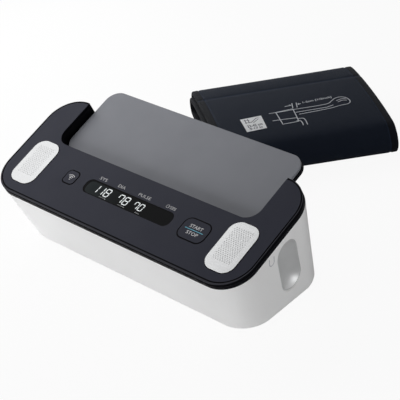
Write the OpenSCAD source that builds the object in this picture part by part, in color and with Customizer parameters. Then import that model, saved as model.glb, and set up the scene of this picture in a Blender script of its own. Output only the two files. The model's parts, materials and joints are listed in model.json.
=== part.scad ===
// Bench-top upper-arm blood pressure monitor with four heart-rhythm electrodes, a phone rest and a rolled arm cuff.
// Millimetres. X runs to the right, Y to the back and Z up. The table is z = 0, and x = y = 0 is the monitor's middle.

/* [Housing] */
// width of the cover, left to right
cover_w = 273; // [240:1:300]
// length of the cover up its slope, from the front edge to the ends of the arms
cover_l = 102; // [95:1:108]
// slope of the cover in degrees
slope = 18; // [14:1:22]
// height of the cover's front edge above the table
front_h = 57; // [54:1:62]
// plan radius of the housing's four corners
corner_r = 26; // [20:1:30]
// width of the case near the table
base_w = 255.6; // [250:0.1:262]
// depth of the case near the table
base_d = 90.3; // [88:0.1:93]
// thickness of the case's walls
wall = 2.4; // [2:0.1:3]
// thickness of the cover panel
panel_t = 2; // [1.6:0.1:2.4]
// width of the groove that runs round the cover near its edge
groove_w = 0.8; // [0.5:0.1:1.2]
// depth of that groove
groove_d = 0.5; // [0.3:0.1:0.8]
// distance of the groove from the cover's front edge
groove_front = 1.6; // [1.2:0.1:3]
// distance of the groove from the cover's sides
groove_side = 0.6; // [0.5:0.1:1.5]
// height of the dark seam under the cover panel
seam_t = 0.6; // [0.4:0.1:0.8]
// height of the dark band under the seam
band_t = 3.4; // [3:0.1:4]
// height that the rubber feet lift the case
foot_lift = 0.8; // [0.5:0.1:1.2]

/* [Phone rest] */
// half width of the notch between the arms
notch_x = 109; // [104:0.5:112]
// distance of the notch's front wall from the cover's front edge
notch_y = 58; // [55:0.5:62]
// radius of the notch's front corners
notch_r = 12; // [8:1:14]
// depth of the grey plate's face below the cover's face
plate_drop = 7.8; // [6:0.1:9]
// thickness of the grey plate
plate_t = 2.2; // [1.8:0.1:2.6]
// half width of the grey plate
plate_x = 105.5; // [100:0.5:107]
// distance of the grey plate's back edge from the cover's front edge
plate_back = 126.7; // [118:0.1:130]
// radius of the grey plate's back corners
plate_r = 12; // [8:1:16]

/* [Electrodes] */
// distance of each upper electrode from the middle
pad_x = 109.7; // [105:0.1:112]
// distance of the upper electrodes from the cover's front edge
pad_y = 32.7; // [30:0.1:35]
// width of an upper electrode
pad_w = 27; // [24:0.1:29]
// length of an upper electrode
pad_l = 44; // [40:0.1:46]
// corner radius of an upper electrode
pad_r = 9.5; // [6:0.1:13]
// height of an upper electrode above the cover's face
pad_rise = 0.4; // [0.2:0.1:0.8]
// height of the end recesses' middle above the table
dish_z = 40; // [36:0.5:44]
// distance of the end recesses from the middle, to the back
dish_y = 1.5; // [-2:0.5:4]
// radius of the finger-shaped hollow of each end recess
dish_r = 14; // [13:0.5:16]
// half width of each end recess's mouth
dish_half = 11.3; // [10:0.1:12.5]
// straight length between an end recess's round ends
dish_run = 27; // [24:0.5:30]
// lean of the end recesses toward the front, in degrees
dish_lean = 9.5; // [6:0.5:12]
// thickness of an end electrode's sheet
sheet_t = 0.8; // [0.6:0.1:1.2]

/* [Display and buttons] */
// width of the display window
window_w = 96.2; // [90:0.1:98]
// height of the display window
window_h = 13.6; // [12:0.1:15]
// corner radius of the display window
window_r = 5.7; // [3:0.1:6]
// distance of the window and the buttons from the cover's front edge
row_y = 32.8; // [31:0.1:34]
// distance of the start button from the middle
start_x = 71.7; // [69:0.1:74]
// width of the start button
start_w = 25.4; // [22:0.1:27]
// height of the start button's cap up the slope
start_l = 18.2; // [16:0.1:20]
// corner radius of the start button
start_r = 6; // [4:0.5:8]
// distance of the connection button from the middle, to the left
link_x = 65.4; // [63:0.1:68]
// side of the connection button
link_w = 12.4; // [11:0.1:14]
// corner radius of the connection button
link_r = 3.5; // [2:0.5:5]
// travel of both buttons
press = 0.6; // [0.4:0.1:0.8]

/* [Power and air] */
// diameter of a battery cell
cell_d = 14.3; // [14:0.1:14.5]
// length of a battery cell, without its button
cell_l = 49.2; // [48.5:0.1:49.5]
// height of the battery door's middle above the table
door_z = 26; // [24:0.5:30]
// width of the battery door
door_w = 115.4; // [113:0.1:118]
// height of the battery door
door_h = 37.4; // [36:0.1:39]
// thickness of the battery door
door_t = 2.2; // [2:0.1:2.5]
// distance of both jacks from the middle
jack_x = 88; // [84:0.5:94]
// height of both jacks above the table
jack_z = 27; // [24:0.5:32]
// radius of the air jack's bore
air_r = 2.6; // [2:0.1:3]
// depth of the air jack's bore
air_l = 14; // [10:0.5:16]
// radius of the pump motor
motor_r = 12; // [10:0.5:13]
// length of the pump motor's can
motor_l = 28; // [24:1:32]
// width of the pump head, along the motor's axis
head_w = 20; // [18:0.5:22]
// depth and height of the pump head
head_d = 22; // [20:0.5:24]
// distance of the motor's axis from the case's front edge
motor_in = 30.5; // [30.5:0.1:34]
// radius of the air hose
hose_r = 3; // [2.5:0.1:3.5]
// width of the main board
board_w = 168; // [160:1:176]
// length of the main board, up the slope
board_l = 38; // [34:0.5:42]
// depth of the main board's top below the cover's face
board_top = 12; // [11:0.1:13]
// throw of the pump's crank
crank = 1.2; // [0.8:0.1:1.6]

/* [Cuff] */
// width of the cuff, along its roll
cuff_w = 147; // [130:1:155]
// depth of the flattened roll
cuff_d = 127; // [110:1:135]
// height of the flattened roll
cuff_h = 42; // [36:1:46]
// thickness of the padded cloth
cloth_t = 4; // [3.5:0.1:5]
// distance from one turn of the cloth to the next
turn = 5.4; // [5:0.1:7]
// number of turns in the roll
turns = 2.03; // [1.9:0.01:2.1]
// distance of the roll's middle from the monitor's middle, to the left
cuff_x = 22.7; // [0:0.1:60]
// distance of the roll's middle from the monitor's middle, to the back
cuff_y = 181.2; // [160:0.1:240]
// turn of the roll's axis from the X direction, in degrees
cuff_turn = 46.6; // [0:0.1:90]
// sideways slip of the roll's front against its back
cuff_slip = 23; // [0:1:30]
// slip of each turn past the one outside it
cuff_creep = 3; // [0:0.5:6]
// width of the metal loop at the cloth's inner end
ring_w = 13; // [10:0.5:16]
// radius of the metal loop's wire
ring_r = 1.4; // [1:0.1:1.8]

/* [Clearances] */
// gap between fixed pieces that slip together
slip = 0.2; // [0.1:0.05:0.3]
// gap round the moving buttons and the battery door
running = 0.3; // [0.2:0.05:0.4]

/* [Hidden] */
$fn = 64;
front_y = -61.5;
base_y = 0.15;
base_r = corner_r - 1.5;
under = panel_t + seam_t + band_t;
tray_drop = plate_drop + plate_t;
deck_drop = tray_drop + 6;
back_top = front_y + cover_l*cos(slope) + (under + 0.4)*sin(slope);
back_top_z = front_h + cover_l*sin(slope) - (under + 0.4)*cos(slope);
base_back = base_y + base_d/2;
back_lean = atan((base_back - back_top)/(back_top_z - 5.8));
end_lean = 7.6;
end_x = base_w/2 - 4.8*tan(end_lean) + dish_z*tan(end_lean);
dish_out = sqrt(dish_r*dish_r - dish_half*dish_half);
pad_stud = 2.4;
base_front = base_y - base_d/2;
screw_spots = [[37.8 - base_w/2, base_front + 11], [base_w/2 - 37.8, base_front + 11],
  [7.8 - base_w/2, base_back - 21.3], [base_w/2 - 7.8, base_back - 21.3]];
foot_spots = [[21.8 - base_w/2, base_front + 13], [base_w/2 - 21.8, base_front + 13],
  [27.8 - base_w/2, base_back - 11.3], [base_w/2 - 27.8, base_back - 11.3]];
post_z = 24;
floor_z = foot_lift + wall;
board_t = 1.6;
cell_r = cell_d/2;
cell_gap = 0.6;
bay_in = 2*cell_d + 3*cell_gap;
bay_x = 57;
row = cell_r + cell_gap/2;
cell_y = -(door_t + running + slip + 0.4 + cell_r);
bay_y = cell_y - cell_r - 0.4;
motor_z = floor_z + 2.6 + motor_r + 0.1;
motor_y = base_front + motor_in;
head_x = -jack_x - head_w;
coupling = 12;
motor_x = head_x + head_w + coupling;
elbow = 8;
block_in = 20;
spigot = 26;
hose_on = 6.4;
head_back = base_back - motor_y - head_d/2;
nozzle_end = spigot + (head_back - spigot - hose_on)/2 - 0.2;

// ---- frames of reference ----

// the cover's face: X across, Y up the slope from the front edge, h above the face
module on_cover(h) {
  translate([0, front_y, front_h]) rotate([slope, 0, 0]) translate([0, 0, h]) children();
}

// the case's back wall at height z: Y out of the wall, Z up along it
module on_back(x, z) {
  translate([x, base_back - (z - 5.8)*tan(back_lean), z]) rotate([back_lean, 0, 0]) children();
}

// the half with the pump and the air inlet, drawn on the left and turned over to the right
module air_half() {
  mirror([1, 0, 0]) children();
}

// the middle of an end recess: X out of the end wall, Z up along it
module on_end(side) {
  mirror([side < 0 ? 1 : 0, 0, 0]) translate([end_x, dish_y, dish_z]) rotate([0, end_lean, 0])
    rotate([dish_lean, 0, 0]) children();
}

// ---- outlines ----

// a rectangle with round corners, on its middle
module rounded(w, l, r) {
  square([w - 2*r, l], center = true);
  square([w, l - 2*r], center = true);
  for (x = [-1, 1], y = [-1, 1]) translate([x*(w/2 - r), y*(l/2 - r)]) circle(r);
}

// an upper electrode's outline, grown by g
module pad_outline(g) {
  rounded(pad_w + 2*g, pad_l + 2*g, pad_r + g);
}

// the notch between the arms, grown by g, open to the back
module notch(g) {
  translate([0, notch_y + 60]) rounded(2*(notch_x + g), 120 + 2*g, notch_r + g);
}

// the cover's U-shaped outline, drawn in by i
module cover_outline(i) {
  difference() {
    translate([0, cover_l/2]) rounded(cover_w - 2*i, cover_l - 2*i, corner_r - i);
    notch(i);
  }
}

// everything that shows in the cover panel's openings, grown by g
module panel_pieces(pad_g, window_g, button_g) {
  for (x = [-1, 1]) translate([x*pad_x, pad_y]) pad_outline(pad_g);
  translate([0, row_y]) rounded(window_w + 2*window_g, window_h + 2*window_g, window_r + window_g);
  translate([start_x, row_y + 0.3]) start_cap(button_g);
  translate([-link_x, row_y + 0.3]) link_cap(button_g);
}

module start_cap(g) {
  rounded(start_w + 2*g, start_l + 2*g, start_r + g);
}

module link_cap(g) {
  rounded(link_w + 2*g, link_w + 2*g, link_r + g);
}

// ---- housing ----

// the case's tapered block, drawn in by i, from the table to the band
module case_block(i) {
  hull() {
    on_cover(-under - 0.4) translate([0, cover_l/2]) linear_extrude(i > 0 ? 2 : 0.4)
      rounded(cover_w - 2*i, cover_l - 2*i, corner_r - i);
    translate([0, base_y, 4.8]) linear_extrude(1) rounded(base_w - 2*i, base_d - 2*i, base_r - i);
    translate([0, base_y, foot_lift + 1.2 + i/2]) linear_extrude(0.4)
      rounded(base_w - 2.2 - 2*i, base_d - 2.2 - 2*i, base_r - 1.1 - i);
    translate([0, base_y, foot_lift + i]) linear_extrude(0.4)
      rounded(base_w - 6.4 - 2*i, base_d - 6.4 - 2*i, base_r - 3.2 - i);
  }
}

// the finger-shaped body that hollows an end recess
module dish_body(r) {
  translate([dish_out, 0, -dish_run/2]) cylinder(h = dish_run, r = r);
  for (z = [-1, 1]) translate([dish_out, 0, z*dish_run/2]) sphere(r);
}

// outline of the ribs that carry the phone tray, seen from the end
module tray_rib() {
  y0 = front_y + (notch_y + 3)*cos(slope) + deck_drop*sin(slope);
  z0 = front_h + (notch_y + 3)*sin(slope) - deck_drop*cos(slope);
  y1 = front_y + (cover_l - 3)*cos(slope) + deck_drop*sin(slope);
  z1 = front_h + (cover_l - 3)*sin(slope) - deck_drop*cos(slope);
  polygon([[y0, floor_z - 0.2], [base_back - 1.2, floor_z + 2], [y1, z1], [y0, z0]]);
}

module lower_case() {
  color([0.93, 0.93, 0.93]) difference() {
    union() {
      difference() {
        case_block(0);
        case_block(wall);
      }
      intersection() {
        case_block(0);
        union() {
          for (s = [-1, 1]) on_end(s) dish_body(dish_r + wall);
        }
      }
      for (p = screw_spots) translate([p[0], p[1], floor_z - 0.6]) cylinder(h = post_z - floor_z + 0.6, r = 4.5);
      for (x = [-76, 74]) translate([x, 0, 0]) rotate([90, 0, 90]) linear_extrude(2) tray_rib();
    }
    on_cover(-deck_drop) translate([0, notch_y - 2.2 + 60]) linear_extrude(deck_drop + 5)
      rounded(2*(notch_x + 2.2), 120, notch_r + 2.2);
    for (s = [-1, 1]) on_end(s) dish_body(dish_r);
    on_back(0, door_z) rotate([90, 0, 0]) translate([0, 0, -2]) linear_extrude(8)
      rounded(door_w + 2*running, door_h + 2*running, 4 + running);
    on_back(jack_x, jack_z) rotate([90, 0, 0]) translate([0, 0, -5]) cylinder(h = 14, r = 5.5 + slip);
    on_back(-jack_x, jack_z) rotate([90, 0, 0]) translate([0, 0, -5]) cylinder(h = 9, r = 4.6 + slip);
    for (p = screw_spots) translate([p[0], p[1], -1]) cylinder(h = post_z + 2, r = 1.7);
    for (p = screw_spots) translate([p[0], p[1], -1]) cylinder(h = 7, r = 3.4);
    for (p = foot_spots) translate([p[0], p[1], -1]) cylinder(h = foot_lift + 2.2, r = 6 + slip);
  }
}

module upper_frame() {
  color([0.09, 0.09, 0.1]) difference() {
    union() {
      on_cover(-under) linear_extrude(band_t) cover_outline(0);
      on_cover(-under + band_t) linear_extrude(seam_t) cover_outline(1.4);
      on_cover(-under - 3) linear_extrude(3.2) difference() {
        translate([0, cover_l/2]) rounded(cover_w - 7.6, cover_l - 7.6, corner_r - 3.8);
        translate([0, cover_l/2]) rounded(cover_w - 10.8, cover_l - 10.8, corner_r - 5.4);
        notch(1);
      }
      on_cover(-deck_drop) linear_extrude(deck_drop - panel_t - seam_t) intersection() {
        difference() {
          notch(2);
          notch(0);
        }
        translate([0, cover_l/2]) square([2*notch_x + 20, cover_l], center = true);
      }
      for (p = screw_spots) translate([p[0], p[1], post_z])
        cylinder(h = front_h + (p[1] - front_y)*tan(slope) - 4.3/cos(slope) - post_z, r = 3.5);
      for (x = [-80, -30, 50, 80]) on_cover(-board_top) translate([x, 20]) cylinder(h = board_top - under + 0.5, r = 2.5);
      for (x = [-80, -30, 30, 80]) on_cover(-board_top) translate([x, 48]) cylinder(h = board_top - under + 0.5, r = 2.5);
    }
    on_cover(-under - 1) translate([0, row_y]) linear_extrude(under) rounded(window_w - 4.2, window_h - 0.8, 1);
    on_cover(-under - 1) translate([start_x, row_y + 0.3]) linear_extrude(under) start_cap(1.7);
    on_cover(-under - 1) translate([-link_x, row_y + 0.3]) linear_extrude(under) link_cap(1.7);
    for (x = [-1, 1]) on_cover(-under - 1) translate([x*pad_x, pad_y]) cylinder(h = under, r = pad_stud + slip);
    for (p = screw_spots) translate([p[0], p[1], post_z - 1]) cylinder(h = 18, r = 1.5);
  }
}

// the line of the groove in the cover, drawn in by i
module groove_line(i) {
  translate([0, (cover_l - groove_side + groove_front)/2])
    rounded(cover_w - 2*(groove_side + i), cover_l - groove_side - groove_front - 2*i, corner_r - groove_side - i);
}

module top_panel() {
  color([0.15, 0.15, 0.18]) difference() {
    on_cover(-panel_t) linear_extrude(panel_t) difference() {
      cover_outline(0);
      panel_pieces(0.15, 0.1, running);
    }
    on_cover(-groove_d) linear_extrude(groove_d + 1) difference() {
      groove_line(0);
      groove_line(groove_w);
    }
  }
}

module phone_tray() {
  l = plate_back - notch_y - 0.6;
  color([0.07, 0.07, 0.08]) union() {
    on_cover(-deck_drop) linear_extrude(1.5) intersection() {
      notch(-slip);
      translate([0, cover_l/2]) square([2*notch_x, cover_l - 2], center = true);
    }
    on_cover(-deck_drop + 1.5) translate([0, notch_y + 0.6 + l/2 - 1.2]) linear_extrude(2)
      rounded(2*plate_x - 1, l - 2.4, plate_r - 2);
    on_cover(-tray_drop - 2.5) translate([0, notch_y + 0.6 + l/2]) linear_extrude(2.5)
      rounded(2*plate_x + 2.6, l, plate_r);
  }
}

module phone_plate() {
  l = plate_back - notch_y - 1.2;
  color([0.42, 0.42, 0.44]) on_cover(-tray_drop) translate([0, notch_y + 1.2 + l/2])
    linear_extrude(plate_t) rounded(2*plate_x, l, plate_r);
}

// ---- electrodes ----

module electrode_top(side) {
  color([0.86, 0.87, 0.87]) on_cover(-panel_t) translate([side*pad_x, pad_y]) union() {
    linear_extrude(panel_t + pad_rise) pad_outline(0);
    translate([0, 0, -under - 4]) cylinder(h = under + 4, r = pad_stud);
  }
}

module electrode_top_left() {
  electrode_top(-1);
}

module electrode_top_right() {
  electrode_top(1);
}

module electrode_end(side) {
  color([0.75, 0.76, 0.77]) on_end(side) difference() {
    intersection() {
      dish_body(dish_r - 0.1);
      translate([-20.5, -20, -40]) cube([20, 40, 80]);
    }
    dish_body(dish_r - sheet_t);
  }
}

module electrode_end_left() {
  electrode_end(-1);
}

module electrode_end_right() {
  electrode_end(1);
}

// ---- display, board and buttons ----

module display_window() {
  color([0.02, 0.02, 0.03]) on_cover(-panel_t) translate([0, row_y]) linear_extrude(panel_t - 0.1)
    rounded(window_w, window_h, window_r);
}

module display_module() {
  color([0.2, 0.2, 0.2]) on_cover(-board_top) translate([0, row_y]) linear_extrude(board_top - panel_t - 0.3)
    rounded(window_w - 5, window_h - 1.4, 0.6);
}

module main_board() {
  color([0.1, 0.4, 0.2]) on_cover(-board_top - board_t) translate([0, row_y + 0.3]) linear_extrude(board_t)
    rounded(board_w, board_l, 2);
}

// a button's cap, its flange under the panel and the stem that presses the switch
module start_stop_button() {
  color([0.15, 0.15, 0.18]) on_cover(0) translate([start_x, row_y + 0.3]) union() {
    translate([0, 0, -3.2]) linear_extrude(3.4) start_cap(0);
    translate([0, 0, -3.2]) linear_extrude(1) start_cap(1.2);
    translate([0, 0, -7.2]) cylinder(h = 4.2, r = 2.2);
  }
}

module connection_button() {
  color([0.15, 0.15, 0.18]) on_cover(0) translate([-link_x, row_y + 0.3]) union() {
    translate([0, 0, -3.2]) linear_extrude(3.4) link_cap(0);
    translate([0, 0, -3.2]) linear_extrude(1) link_cap(1.2);
    translate([0, 0, -7.2]) cylinder(h = 4.2, r = 2.2);
  }
}

// a small press switch on the board, its plunger just past the end of the button's travel
module press_switch(x) {
  color([0.5, 0.5, 0.52]) on_cover(-board_top) translate([x, row_y + 0.3]) union() {
    linear_extrude(3.4) rounded(6.2, 6.2, 0.8);
    cylinder(h = board_top - 7.2 - press - 0.1, r = 1.7);
  }
}

module start_stop_switch() {
  press_switch(start_x);
}

module connection_switch() {
  press_switch(-link_x);
}

// ---- battery ----

module battery_bay() {
  color([0.85, 0.85, 0.85]) on_back(0, door_z) difference() {
    translate([-bay_x - 1.6, bay_y - 1.5, -bay_in/2 - 1.6])
      cube([2*bay_x + 3.2, -door_t - running - slip - bay_y + 1.5, bay_in + 3.2]);
    translate([-bay_x, bay_y, -bay_in/2]) cube([2*bay_x, 40, bay_in]);
  }
}

module battery_door() {
  color([0.93, 0.93, 0.93]) on_back(0, door_z) difference() {
    rotate([90, 0, 0]) linear_extrude(door_t) rounded(door_w, door_h, 4);
    translate([0, 6, door_h/2 - 5]) rotate([0, 90, 0]) cylinder(h = 18, r = 7, center = true);
  }
}

module cell(x, z) {
  color([0.75, 0.6, 0.2]) on_back(0, door_z) translate([x, cell_y, z*row]) rotate([0, 90, 0]) union() {
    cylinder(h = cell_l, r = cell_r, center = true);
    cylinder(h = cell_l/2 + 1.1, r = 2.7);
  }
}

module cell_1() {
  cell(-cell_l/2 - 1.1, 1);
}

module cell_2() {
  cell(cell_l/2, 1);
}

module cell_3() {
  cell(-cell_l/2 - 1.1, -1);
}

module cell_4() {
  cell(cell_l/2, -1);
}

// the spring plates at one end of the bay, with a stub that meets each cell
module contacts(side) {
  reach = side < 0 ? bay_x - cell_l - 1.1 : bay_x - cell_l - 1.1;
  color([0.8, 0.8, 0.78]) on_back(0, door_z) for (z = [-1, 1]) union() {
    translate([side*(bay_x - 0.3), cell_y, z*row]) cube([0.6, 10, 11], center = true);
    translate([side*(bay_x - 0.5), cell_y, z*row]) rotate([0, -side*90, 0]) cylinder(h = reach - 0.6, r1 = 4.5, r2 = 3);
  }
}

module contacts_left() {
  contacts(-1);
}

module contacts_right() {
  contacts(1);
}

// ---- pump and air ----

module pump_cradle() {
  color([0.3, 0.3, 0.32]) air_half() difference() {
    union() {
      translate([head_x - 2, motor_y - motor_r - 2, floor_z]) cube([motor_x + motor_l - head_x + 4, 2*motor_r + 4, 2.5]);
      for (x = [4, motor_l - 10]) translate([motor_x + x, motor_y - motor_r, floor_z]) cube([6, 2*motor_r, 8]);
    }
    translate([motor_x - coupling + 2, motor_y, motor_z]) rotate([0, 90, 0])
      cylinder(h = motor_l + 2*coupling + 6, r = motor_r + 0.1);
  }
}

module pump_motor() {
  color([0.7, 0.7, 0.72]) air_half() translate([motor_x, motor_y, motor_z]) rotate([0, 90, 0]) difference() {
    union() {
      cylinder(h = motor_l, r = motor_r);
      translate([0, 0, -2]) cylinder(h = 3, r = 4);
    }
    translate([0, 0, -3]) cylinder(h = 10, r = 1.08);
  }
}

// the motor's shaft with the eccentric that rocks the pump's membranes
module motor_crank() {
  color([0.75, 0.6, 0.3]) air_half() translate([head_x + head_w, motor_y, motor_z]) rotate([0, 90, 0]) union() {
    translate([0, 0, -3]) cylinder(h = coupling + 9, r = 1);
    translate([crank, 0, -3.5]) cylinder(h = 3, r = 4);
  }
}

module pump_head() {
  color([0.2, 0.2, 0.22]) air_half() union() {
    difference() {
      translate([head_x, motor_y - head_d/2, floor_z + 2.5]) cube([head_w, head_d, head_d]);
      translate([head_x + head_w - 4, motor_y, motor_z]) rotate([0, 90, 0]) cylinder(h = 6, r = 7.5);
    }
    on_back(-jack_x - elbow, jack_z) translate([0, -head_back - 5.2, 0]) rotate([-90, 0, 0])
      cylinder(h = head_back + 5.2 - nozzle_end, r = hose_r/2);
  }
}

module release_valve() {
  color([0.6, 0.6, 0.62]) translate([-20, -14, floor_z]) union() {
    translate([-9, -8, 0]) cube([18, 16, 3]);
    translate([0, 0, 3]) cylinder(h = 15, r = 7);
    translate([0, 0, 18]) cylinder(h = 3, r = 2);
  }
}

module pressure_sensor() {
  color([0.1, 0.1, 0.1]) on_cover(-board_top - board_t - 5) translate([-20, 33]) union() {
    translate([-5, -5, 0]) cube([10, 10, 5]);
    translate([0, 0, -4]) cylinder(h = 5, r = 1.5);
  }
}

module air_hose() {
  color([0.8, 0.8, 0.8]) air_half() on_back(-jack_x - elbow, jack_z) difference() {
    translate([0, -nozzle_end - hose_on, 0]) rotate([-90, 0, 0]) cylinder(h = nozzle_end + hose_on - block_in - 0.4, r = hose_r);
    translate([0, -nozzle_end - hose_on - 0.6, 0]) rotate([-90, 0, 0])
      cylinder(h = nozzle_end + hose_on - block_in + 1.6, r = hose_r/2 + 0.1);
  }
}

module air_jack() {
  color([0.1, 0.1, 0.11]) air_half() union() {
    on_back(-jack_x, jack_z) difference() {
      union() {
        translate([0, 1, 0]) rotate([90, 0, 0]) cylinder(h = 1, r = 7);
        translate([0, 1, 0]) rotate([90, 0, 0]) cylinder(h = 17, r = 5.5);
        translate([-elbow - 2, -block_in, -4]) cube([elbow + 6, 5, 8]);
      }
      translate([0, 1 - air_l, 0]) rotate([-90, 0, 0]) cylinder(h = air_l + 1, r = air_r);
      translate([0, 0, 0]) rotate([90, 0, 0]) cylinder(h = 17, r = 1);
    }
    on_back(-jack_x - elbow, jack_z) translate([0, -spigot, 0]) rotate([-90, 0, 0]) cylinder(h = 7, r = hose_r/2);
  }
}

module power_jack() {
  color([0.08, 0.08, 0.09]) on_back(-jack_x, jack_z) union() {
    difference() {
      union() {
        rotate([90, 0, 0]) cylinder(h = 4, r = 4.6);
        translate([-5, -16.5, -5.5]) cube([10, 13.9, 11]);
      }
      translate([0, -11, 0]) rotate([-90, 0, 0]) cylinder(h = 12, r = 2.9);
    }
    translate([0, -12, 0]) rotate([-90, 0, 0]) cylinder(h = 10, r = 1);
  }
}

// ---- feet and screws ----

module foot(i) {
  color([0.2, 0.2, 0.2]) translate([foot_spots[i][0], foot_spots[i][1], 0]) cylinder(h = foot_lift + 1.2, r = 6);
}

module foot_1() {
  foot(0);
}

module foot_2() {
  foot(1);
}

module foot_3() {
  foot(2);
}

module foot_4() {
  foot(3);
}

module case_screw(i) {
  color([0.6, 0.6, 0.62]) translate([screw_spots[i][0], screw_spots[i][1], 0]) union() {
    translate([0, 0, 3.8]) cylinder(h = 2.2, r = 3);
    translate([0, 0, 5]) cylinder(h = 32, r = 1.45);
  }
}

module case_screw_1() {
  case_screw(0);
}

module case_screw_2() {
  case_screw(1);
}

module case_screw_3() {
  case_screw(2);
}

module case_screw_4() {
  case_screw(3);
}

// ---- cuff ----

// the roll's frame: X along the roll, Y to its back, Z up from the table
module on_cuff() {
  translate([-cuff_x, cuff_y, 0]) rotate([0, 0, cuff_turn]) children();
}

steps = 44;
run0 = cuff_d/2 - cuff_h/2;
r0 = cuff_h/2 - cloth_t/2;
// angle, radius and place of a point on the middle of the cloth, p from 0 at the outer end to 1 at the inner
function roll_a(p) = 250 + 360*turns*p;
function roll_r(p) = r0 - turn*turns*p;
function roll_at(p) = [run0*max(-1, min(1, -1.5*cos(roll_a(p)))) - roll_r(p)*cos(roll_a(p)),
  r0 + cloth_t/2 + roll_r(p)*sin(roll_a(p))];
function roll_dir(p) = roll_at(p + 0.002) - roll_at(p - 0.002);
function roll_out(p) = [-roll_dir(p)[1], roll_dir(p)[0]]/norm(roll_dir(p));
// half thickness of the cloth: fuller at the bound edges
function half_t(u) = cloth_t/2 + (abs(u) > 0.47 ? 0.45 : 0);
function roll_point(u, p, side) = [u*cuff_w - cuff_slip*roll_at(p)[0]/cuff_d - cuff_creep*turns*(p - 0.2),
  roll_at(p)[0] + side*half_t(u)*roll_out(p)[0], max(0, roll_at(p)[1] + side*half_t(u)*roll_out(p)[1])];
rings = [-0.5, -0.45, -0.25, 0, 0.25, 0.45, 0.5];
ring_n = 2*(steps + 1);
roll_points = [for (u = rings) each concat([for (i = [0:steps]) roll_point(u, i/steps, 1)],
  [for (i = [steps:-1:0]) roll_point(u, i/steps, -1)])];
roll_skin = [for (k = [0:len(rings) - 2], i = [0:ring_n - 1]) each
  [[k*ring_n + i, k*ring_n + (i + 1)%ring_n, (k + 1)*ring_n + i],
   [k*ring_n + (i + 1)%ring_n, (k + 1)*ring_n + (i + 1)%ring_n, (k + 1)*ring_n + i]]];
function cap(k, flip) = [for (i = [0:steps - 1]) each let (a = k*ring_n + i, b = k*ring_n + ring_n - 1 - i)
  flip ? [[a, b, a + 1], [a + 1, b, b - 1]] : [[a, a + 1, b], [a + 1, b - 1, b]]];

module cuff_wrap() {
  color([0.12, 0.13, 0.18]) on_cuff() polyhedron(roll_points, concat(roll_skin, cap(0, true), cap(len(rings) - 1, false)));
}

// the metal loop at the cloth's inner end, slid along until it shows past the right edge
module cuff_ring() {
  end = roll_at(1);
  half = cuff_w/2 + 1.1;
  color([0.7, 0.7, 0.72]) on_cuff() translate([-2, end[0] - slip - ring_r - ring_w/2, end[1]]) union() {
    for (s = [-1, 1]) {
      translate([3 - half, s*ring_w/2, 0]) rotate([0, 90, 0]) cylinder(h = 2*half - 6, r = ring_r);
      translate([s*half, 3 - ring_w/2, 0]) rotate([-90, 0, 0]) cylinder(h = ring_w - 6, r = ring_r);
      for (t = [-1, 1]) translate([s*(half - 3), t*(ring_w/2 - 3), 0]) mirror([s < 0 ? 1 : 0, 0, 0])
        mirror([0, t < 0 ? 1 : 0, 0]) rotate_extrude(angle = 90) translate([3, 0]) circle(ring_r);
    }
  }
}

lower_case();
upper_frame();
top_panel();
phone_tray();
phone_plate();
electrode_top_left();
electrode_top_right();
electrode_end_left();
electrode_end_right();
display_window();
display_module();
main_board();
start_stop_button();
start_stop_switch();
connection_button();
connection_switch();
battery_bay();
battery_door();
cell_1();
cell_2();
cell_3();
cell_4();
contacts_left();
contacts_right();
pump_cradle();
pump_motor();
motor_crank();
pump_head();
release_valve();
pressure_sensor();
air_hose();
air_jack();
power_jack();
foot_1();
foot_2();
foot_3();
foot_4();
case_screw_1();
case_screw_2();
case_screw_3();
case_screw_4();
cuff_wrap();
cuff_ring();
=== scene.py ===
"""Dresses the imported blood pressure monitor.

It gives every solid a finish, and adds the figures and signs, the sewn cuff, the floor, the lamps and the camera.
"""

import json
import logging
import math
from dataclasses import dataclass, field
from enum import Enum

import bmesh
import bpy
from mathutils import Matrix, Vector
from mathutils.bvhtree import BVHTree

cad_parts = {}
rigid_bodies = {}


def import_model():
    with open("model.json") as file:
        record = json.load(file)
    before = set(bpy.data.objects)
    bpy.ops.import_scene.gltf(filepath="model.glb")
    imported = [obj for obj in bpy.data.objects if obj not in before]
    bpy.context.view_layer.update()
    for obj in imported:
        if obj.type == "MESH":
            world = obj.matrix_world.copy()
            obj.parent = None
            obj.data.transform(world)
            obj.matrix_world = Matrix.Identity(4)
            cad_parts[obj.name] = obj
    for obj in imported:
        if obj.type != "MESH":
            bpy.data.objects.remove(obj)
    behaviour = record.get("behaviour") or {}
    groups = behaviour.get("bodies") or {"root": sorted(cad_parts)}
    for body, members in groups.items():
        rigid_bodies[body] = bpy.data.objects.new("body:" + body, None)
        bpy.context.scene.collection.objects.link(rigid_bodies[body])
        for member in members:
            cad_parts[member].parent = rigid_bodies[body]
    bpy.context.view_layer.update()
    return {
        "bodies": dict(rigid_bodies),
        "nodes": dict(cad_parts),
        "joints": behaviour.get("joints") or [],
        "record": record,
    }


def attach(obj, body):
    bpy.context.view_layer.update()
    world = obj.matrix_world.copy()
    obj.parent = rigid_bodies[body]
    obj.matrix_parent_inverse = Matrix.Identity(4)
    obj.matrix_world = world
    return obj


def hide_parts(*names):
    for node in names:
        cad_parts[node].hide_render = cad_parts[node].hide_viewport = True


log = logging.getLogger("monitor")
MM = 0.001
INK_RISE = 0.03  # millimetres that a print stands above its face
WINDOW_FACE = -0.1  # the display window's face above the cover's, in millimetres
CAP_FACE = 0.2  # the button caps' faces above the cover's, in millimetres
COVER_EDGE = Vector((0, -0.0615, 0.057))  # the middle of the cover's front edge
COVER_SLOPE = math.radians(18)
CUFF_PLACE = Vector((-0.0227, 0.1812, 0))
CUFF_TURN = math.radians(46.6)
WALL_LEAN = math.radians(7.6)  # how far the end walls lean outwards
WALL_FOOT = (127.8, 4.8)  # a point of the end wall's flat part, as (x, z) in millimetres
PAINTED_GAP_SHADE = (0.002, 0.002, 0.003)  # painted shade for a gap, black
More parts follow.
